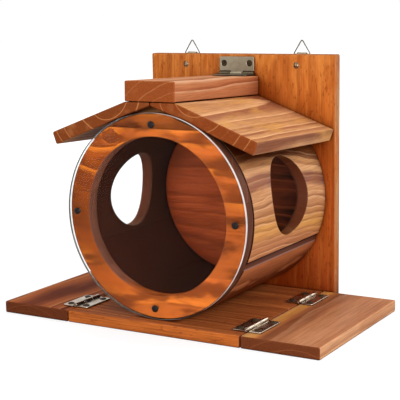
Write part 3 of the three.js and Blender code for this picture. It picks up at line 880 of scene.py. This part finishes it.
def wall_build(side):
    """A curved wall with its round hole. Rays run from the hole's edge to the wall's own edges."""
    hole_rise = hole_rises[side]
    ray_count = 96
    steps = 8
    middle_y = (wall_low.y + wall_high.y) / 2 - hole_forward_shift
    middle_angle = math.asin(hole_rise / barrel_radius)
    corners = [
        math.atan2((angle - middle_angle) * barrel_radius, y - middle_y)
        for angle in (wall_bottom_angle, wall_top_angle)
        for y in (wall_low.y, wall_high.y)
    ]
    rays = sorted([math.tau * ray / ray_count - math.pi for ray in range(ray_count)] + corners)

    def edge_point(ray):
        """Where the ray meets the wall's edge, as y and angle."""
        run, climb = math.cos(ray), math.sin(ray) / barrel_radius
        reaches = []
        if run:
            reaches.append(((wall_high.y if run > 0 else wall_low.y) - middle_y) / run)
        if climb:
            limit = wall_top_angle if climb > 0 else wall_bottom_angle
            reaches.append((limit - middle_angle) / climb)
        reach = min(reaches)
        return middle_y + run * reach, middle_angle + climb * reach

    def surface(bm, radius):
        """Rows of points on the wall's outer or inner face, one row for each ray."""
        rows = []
        for ray in rays:
            hole_y = middle_y + hole_radius * math.cos(ray)
            hole_angle = math.asin((hole_rise + hole_radius * math.sin(ray)) / radius)
            edge_y, edge_angle = edge_point(ray)
            row = []
            for step in range(steps + 1):
                share = step / steps
                y = hole_y + (edge_y - hole_y) * share
                angle = hole_angle + (edge_angle - hole_angle) * share
                x = side * radius * math.cos(angle)
                row.append(bm.verts.new((x, y, barrel_z + radius * math.sin(angle))))
            rows.append(row)
        return rows

    def build(bm):
        outer = surface(bm, barrel_radius)
        inner = surface(bm, wall_inner_radius)
        for rows in (outer, inner):
            for step in range(steps):
                join_loops(bm, [row[step] for row in rows], [row[step + 1] for row in rows])
        for step in (0, steps):
            join_loops(bm, [row[step] for row in outer], [row[step] for row in inner])
    return build


def side_walls():
    merge_reach = 0.01 * mm
    for node, side in (("barrel_side_wall_right", 1), ("barrel_side_wall_left", -1)):
        wall = object_of(node + "_fine", wall_build(side))
        edited(wall, lambda bm: bmesh.ops.remove_doubles(bm, verts=bm.verts, dist=merge_reach))
        trimmed(wall, roof_planes())
        wooden(soften(wall, barrel_round, angle=40 * degree), node)


def staves():
    gap = seat_gap / barrel_radius

    def steps_of(start, end):
        return max(1, round(abs(end - start) / arc_step))

    top = wall_bottom_angle - gap
    bottom = stave_bottom_angle + gap / 2
    shoulder = barrel_radius - shoulder_depth
    side = [(shoulder * math.cos(top), shoulder * math.sin(top))]
    side += arc(0, 0, wall_inner_radius, top, bottom, steps_of(top, bottom))
    side += arc(0, 0, barrel_radius, bottom, top - shoulder_angle, steps_of(bottom, top - shoulder_angle))
    end = stave_bottom_angle - gap / 2
    start = -math.pi - end
    under = arc(0, 0, barrel_radius, start, end, steps_of(start, end))
    under += arc(0, 0, wall_inner_radius, end, start, steps_of(start, end))
    shapes = {
        "barrel_lower_stave_right": side,
        "barrel_lower_stave_left": [(-x, z) for x, z in side],
        "barrel_bottom_stave": under,
    }
    for node, outline in shapes.items():
        stave = object_of(node + "_fine", prism_build(outline, "Y", wall_low.y, wall_high.y))
        stave.data.transform(at(0, 0, barrel_z))
        wooden(soften(stave, stave_round, angle=12 * degree), node)


# Screws stand on the Z axis, with the top of the head at zero

def dome_profile(radius, rise, steps):
    """From beside the top of a dome down to its rim."""
    angles = [step / steps * math.pi / 2 for step in range(1, steps + 1)]
    return [(radius * math.sin(angle), -rise * (1 - math.cos(angle))) for angle in angles]


def cross_recess(reach, width, depth):
    """A tapered cross, to be cut from a screw's head."""
    half = width / 2
    foot_share = 0.55

    def outline(scale, z, bm):
        points = []
        for quarter in range(4):
            turn = Matrix.Rotation(quarter * math.pi / 2, 3, "Z")
            for x, y in ((half, half), (half, reach * scale), (-half, reach * scale)):
                points.append(bm.verts.new(turn @ Vector((x, y, z))))
        return points

    def build(bm):
        top = outline(1.0, depth, bm)
        bottom = outline(foot_share, -depth, bm)
        bm.faces.new(top)
        bm.faces.new(bottom)
        join_loops(bm, top, bottom)
    return build


def screw_mesh(name, head, height, shank, length, dome):
    """A Phillips screw: a domed head over a cone or a flat seat, and a threaded shank with a point."""
    rim_share = 0.35
    neck_share = 1.15
    root_share = 0.78
    thread = 0.75 * mm
    profile = [(0, 0), *dome_profile(head, dome, 6)]
    profile += [(head, -dome - (height - dome) * rim_share), (shank * neck_share, -height)]
    for turn in range(int((length - height - 2 * thread) / thread)):
        z = -height - thread * (turn + 0.5)
        profile += [(shank, z), (shank * root_share, z - thread / 2)]
    profile.append((0, -length))
    screw = object_of(name, turned_build(profile, screw_steps))
    cross = cross_recess(reach=head * 0.58, width=head * 0.24, depth=height * 0.62)
    mesh = smooth(boolean(screw, object_of(name + "_recess", cross), "DIFFERENCE")).data
    bpy.data.objects.remove(screw)
    return mesh


def place_screws(mesh, nodes, facing, material, tilt=Matrix(), rise=0.0):
    """One copy of the screw at each node, facing the way named, each turned its own way. A raised
    head stands above the node's top by its rise."""
    turn_step = 137.5 * degree
    first_turn = 20 * degree
    lift = at(0, 0, rise)
    for index, node in enumerate(nodes):
        spin = Matrix.Rotation(index * turn_step + first_turn, 4, "Z")
        screw = linked(node + "_fine", mesh)
        screw.matrix_world = tilt @ head_place(node, facing, tilt) @ lift @ spin
        settle(screw, node, material)


def screws():
    raised = 1.2 * mm
    flat = screw_mesh(
        "hinge_screw", head=3.2 * mm, height=1.5 * mm, shank=1.15 * mm, length=9 * mm, dome=0.25 * mm)
    domed = screw_mesh(
        "base_screw", head=3.2 * mm, height=1.5 * mm + raised, shank=1.15 * mm, length=9 * mm + raised,
        dome=raised)
    rear = screw_mesh(
        "back_screw", head=3.35 * mm, height=2.4 * mm, shank=1.5 * mm, length=20 * mm, dome=0.3 * mm)
    pan = screw_mesh(
        "window_screw", head=3.2 * mm, height=2.0 * mm, shank=1.35 * mm, length=12 * mm, dome=1.2 * mm)
    base_nodes = [node for node in nodes_named("wing_hinge") if "screw" in node]
    place_screws(domed, base_nodes, "up", brown, rise=raised)
    place_screws(flat, nodes_named("roof_hinge_lid_screw"), "up", brown, tilt=roof_place)
    place_screws(flat, nodes_named("roof_hinge_back_screw"), "front", brown)
    place_screws(pan, nodes_named("window_screw"), "front", black)
    place_screws(rear, nodes_named("back_screw"), "rear", black)


# Window

def window():
    depth = window_high.y - window_low.y
    edge_round = 0.3 * mm
    screw_hole = 1.7 * mm
    profile = disc_profile(0, barrel_radius, 0, depth, edge_round)
    disc = edited(object_of("window_disc_fine", turned_build(profile, turn_steps)), join_flat_faces)
    disc.data.transform(at(0, window_high.y, barrel_z) @ to_front)
    hole = [(0, -depth), (screw_hole, -depth), (screw_hole, depth * 2), (0, depth * 2)]
    for node in nodes_named("window_screw"):
        middle = middle_of(node)
        drill(disc, hole, at(middle.x, window_high.y, middle.z) @ to_front)
    settle(flat_faces(smooth(disc), "Y"), "window_disc", clear_acrylic())


# Hinges: a leaf lies on the plane z = 0, with its pin along X and its plate towards +Y

knuckle_radius = 1.9 * mm
knuckle_bore = 1.1 * mm
knuckle_overlap = 0.03 * mm
pin_radius = 0.85 * mm
pin_past_end = 0.3 * mm
pin_rise = seat_gap + knuckle_radius
leaf_thickness = 1.2 * mm
leaf_corner = 1.6 * mm
plate_start = knuckle_radius + 0.6 * mm
sink_top = 3.4 * mm
sink_foot = 1.5 * mm
sink_depth = 1.3 * mm
sink_overrun = 3 * mm


def tube_along_x(name, radius, low, high, bore=0.0):
    """A tube or a rod along the hinge's axis."""
    profile = disc_profile(bore, radius, low, high, tube_round)
    tube = object_of(name, turned_build(profile, screw_steps, closed=bore > 0))
    tube.data.transform(at(0, 0, pin_rise) @ Matrix.Rotation(math.pi / 2, 4, "Y"))
    return tube


def leaf_outline(length, width, outer_knuckles):
    """The plate with its tabs, and the spans of the tabs, which its knuckles cover."""
    half = length / 2
    third = length / 6
    gap = seat_gap / 2
    outline = [*arc(-half + leaf_corner, width - leaf_corner, leaf_corner, math.pi, math.pi / 2, 5)]
    outline += [*arc(half - leaf_corner, width - leaf_corner, leaf_corner, math.pi / 2, 0, 5)]
    if outer_knuckles:
        outline += [(half, 0), (third + gap, 0), (third + gap, plate_start)]
        outline += [(-third - gap, plate_start), (-third - gap, 0), (-half, 0)]
        return outline, [(-half, -third - gap), (third + gap, half)]
    outline += [(half, plate_start), (third - gap, plate_start), (third - gap, 0)]
    outline += [(-third + gap, 0), (-third + gap, plate_start), (-half, plate_start)]
    return outline, [(-third + gap, third - gap)]


def hinge_leaf(node, length, width, outer_knuckles, screw_x, screw_y):
    """A hinge leaf: a plate with rounded corners, its knuckles, its screws' holes and, with the outer
    knuckles, the pin."""
    outline, spans = leaf_outline(length, width, outer_knuckles)
    top = seat_gap + leaf_thickness
    leaf = object_of(node + "_fine", prism_build(outline, "Z", seat_gap, top))
    sink = [
        (0, -sink_overrun), (sink_foot, -sink_overrun), (sink_foot, -sink_depth), (sink_top, 0),
        (sink_top, sink_overrun), (0, sink_overrun),
    ]
    for x in (-screw_x, screw_x):
        drill(leaf, sink, at(x, screw_y, top))
    soften(leaf, metal_round, segments=2, angle=50 * degree)
    for low, high in spans:
        low, high = low - knuckle_overlap, high + knuckle_overlap
        boolean(leaf, tube_along_x("knuckle", knuckle_radius, low, high, knuckle_bore), "UNION")
    if outer_knuckles:
        end = length / 2 + pin_past_end
        boolean(leaf, tube_along_x("pin", pin_radius, -end, end), "UNION")
    return flat_faces(smooth(leaf), "Z")


def wing_hinges():
    for side, sign in (("left", -1), ("right", 1)):
        seam = joint_place(f"wing_{side}_fold").x
        for row in ("front", "rear"):
            for part, towards in (("inner", -sign), ("outer", sign)):
                node = f"wing_hinge_{side}_{row}_{part}_leaf"
                low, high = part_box(node)
                reach = (high.x if towards > 0 else low.x) - seam
                screw = middle_of(f"wing_hinge_{side}_{row}_{part}_screw_1")
                middle_y = (low.y + high.y) / 2
                leaf = hinge_leaf(
                    node, high.y - low.y, abs(reach), part == "inner",
                    abs(screw.y - middle_y), abs(screw.x - seam))
                turn = Matrix.Rotation(-towards * math.pi / 2, 4, "Z")
                leaf.matrix_world = at(seam, middle_y, low.z - seat_gap) @ turn
                settle(leaf, node, bronze)


def roof_hinge():
    back_low, back_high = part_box("roof_hinge_back_leaf")
    middle_x = (back_low.x + back_high.x) / 2
    screw = middle_of("roof_hinge_back_screw_1")
    length = back_high.x - back_low.x
    width = back_high.z - roof_pin.z
    holes = abs(screw.x - middle_x), screw.z - roof_pin.z
    back = hinge_leaf("roof_hinge_back_leaf", length, width, False, *holes)
    back.matrix_world = at(middle_x, roof_pin.y + pin_rise, roof_pin.z) @ to_front
    settle(back, "roof_hinge_back_leaf", nickel)
    lid = hinge_leaf("roof_hinge_lid_leaf", length, width, True, *holes)
    lid.matrix_world = roof_place @ at(0, 0, -pin_rise) @ Matrix.Rotation(math.pi, 4, "Z")
    # The lid leaf takes the darker copy of the nickel, painted shade
    settle(lid, "roof_hinge_lid_leaf", painted_dark_nickel)


# Hangers

def hangers():
    for side in ("left", "right"):
        pivot = joint_place(f"hanger_{side}_swing")
        strap(side, pivot)
        loop(side, pivot)
        hanger_screw(side)


def strap(side, pivot):
    """A strip of plate, rolled into an eye at its top and rounded at its foot."""
    node = f"hanger_strap_{side}"
    low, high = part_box(node)
    half = (high.x - low.x) / 2
    eye = 1.9 * mm
    bore = 1.3 * mm
    thickness = 0.8 * mm
    set_in = 0.02 * mm
    foot = low.z - pivot.z
    outline = [(-half, 0), *arc(0, foot + half, half, math.pi, math.tau, 14), (half, 0)]
    strip = object_of(node + "_fine", prism_build(outline, "Y", set_in - eye, thickness - eye))
    roll = tube_along_x("roll", eye, -half, half, bore)
    roll.data.transform(at(0, 0, -pin_rise))
    boolean(strip, roll, "UNION")
    strip.data.transform(Matrix.Translation(pivot))
    settle(flat_faces(smooth(strip), "Y"), node, nickel)


def loop(side, pivot):
    """A triangle of round wire with bent corners."""
    node = f"hanger_loop_{side}"
    low, high = corners_in(node, Matrix.Translation(pivot))
    thick = high.y - low.y
    bottom = low.z + thick / 2
    top = high.z - thick / 2
    half = high.x - thick / 2
    bend = 2.2 * mm
    bend_steps = 6
    corners = [Vector((-half, 0, bottom)), Vector((half, 0, bottom)), Vector((0, 0, top))]
    path = []
    for index, corner in enumerate(corners):
        before = (corners[index - 1] - corner).normalized()
        after = (corners[(index + 1) % 3] - corner).normalized()
        start, end = corner + before * bend, corner + after * bend
        for step in range(bend_steps + 1):
            share = step / bend_steps
            path.append(start * (1 - share) ** 2 + corner * 2 * share * (1 - share) + end * share ** 2)

    curve = bpy.data.curves.new(node + "_path", "CURVE")
    curve.dimensions = "3D"
    curve.bevel_depth = thick / 2
    curve.bevel_resolution = 5
    spline = curve.splines.new("POLY")
    spline.points.add(len(path) - 1)
    for point, place in zip(spline.points, path):
        point.co = (*place, 1)
    spline.use_cyclic_u = True
    bent = linked(node + "_path", curve)
    bpy.context.view_layer.update()
    mesh = bpy.data.meshes.new_from_object(bent.evaluated_get(bpy.context.evaluated_depsgraph_get()))
    bpy.data.objects.remove(bent)
    made = linked(node + "_fine", mesh)
    made.data.transform(Matrix.Translation(pivot))
    settle(smooth(made, 60 * degree), node, wire)


def hanger_screw(side):
    """A bright screw through the board, with a wide rim under its dome and its nut behind the strap."""
    node = f"hanger_screw_{side}"
    low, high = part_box(node)
    length = high.y - low.y
    dome, dome_rise = 2.2 * mm, 0.9 * mm
    rim, rim_top, rim_foot = 2.75 * mm, 1.0 * mm, 1.2 * mm
    shank, neck = 1.3 * mm, 1.6 * mm
    tip, taper = 0.9 * mm, 0.4 * mm
    nut_radius, nut_height, past_nut = 2.6 * mm, 1.5 * mm, 0.3 * mm
    profile = [(0, 0), *dome_profile(dome, dome_rise, 5)]
    profile += [(rim, -rim_top), (rim, -rim_foot), (shank, -neck)]
    profile += [(shank, taper - length), (tip, -length), (0, -length)]
    screw = object_of(node + "_fine", turned_build(profile, screw_steps))
    cross = cross_recess(reach=1.5 * mm, width=0.6 * mm, depth=1.0 * mm)
    boolean(screw, object_of("recess", cross), "DIFFERENCE")
    hexagon = arc(0, 0, nut_radius, 0, math.tau * 5 / 6, 5)
    nut_low = past_nut - length
    boolean(screw, object_of("nut", prism_build(hexagon, "Z", nut_low, nut_low + nut_height)), "UNION")
    screw.matrix_world = head_place(node, "front")
    settle(smooth(screw), node, bright)


# Camera, floor and light

def camera():
    """The photograph's viewpoint, found from the box's straight edges and circles."""
    azimuth = 30.55 * degree
    elevation = 9.77 * degree
    roll = -0.95 * degree
    distance = 0.958
    target = Vector((0.0536, -0.0855, 0.12445))
    back = Vector((
        math.sin(azimuth) * math.cos(elevation), -math.cos(azimuth) * math.cos(elevation),
        math.sin(elevation),
    ))
    flat = Vector((math.cos(azimuth), math.sin(azimuth), 0))
    lift = back.cross(flat)
    right = flat * math.cos(roll) + lift * math.sin(roll)
    up = lift * math.cos(roll) - flat * math.sin(roll)
    data = bpy.data.cameras.new("camera")
    data.lens = 102.6
    data.sensor_width = 36
    data.clip_start = 0.05
    made = linked("camera", data)
    turn = Matrix((right, up, back)).transposed().to_4x4()
    made.matrix_world = Matrix.Translation(target + back * distance) @ turn
    bpy.context.scene.camera = made


def lamp(name, place, aim, size, power):
    data = bpy.data.lights.new(name, "AREA")
    data.shape = "RECTANGLE"
    data.size, data.size_y = size
    data.energy = power
    made = linked(name, data)
    made.location = place
    made.rotation_euler = (Vector(aim) - Vector(place)).to_track_quat("-Z", "Y").to_euler()


def world():
    """White to the eye, to gloss and through glass; a soft grey light on everything else."""
    bpy.context.scene.world = bpy.data.worlds.new("studio")
    t = Tree(bpy.context.scene.world, "OutputWorld")
    sky = t.feed(t.add("Background"), white, t.ease(t.in_sight(), 0.0, 1.0, 0.3, 1.0))
    t.put(t.output.inputs[0], sky)


def studio():
    floor_drop = 0.05 * mm
    floor = object_of("floor", lambda bm: bmesh.ops.create_grid(bm, x_segments=1, y_segments=1, size=6))
    floor.data.materials.append(floor_material())
    floor.location.z = -floor_drop
    world()
    middle = (0.02, 0, 0.1)
    lamp("key_right", (1.3, -0.55, 0.6), middle, (0.9, 0.9), 14.5)
    lamp("front", (0.75, -1.45, 0.38), middle, (1.0, 0.7), 13)
    lamp("fill_left", (-1.1, -1.1, 0.9), middle, (1.2, 1.2), 5)
    lamp("top_back", (-0.1, 0.3, 1.3), middle, (1.2, 0.8), 9)
    lamp("rear_right", (0.5, 1.0, 0.55), middle, (0.7, 0.5), 3)
    bpy.context.scene.view_settings.view_transform = "Standard"


flat_boards()
roof_boards()
barrel_ring()
barrel_back()
side_walls()
staves()
screws()
window()
wing_hinges()
roof_hinge()
hangers()
camera()
studio()
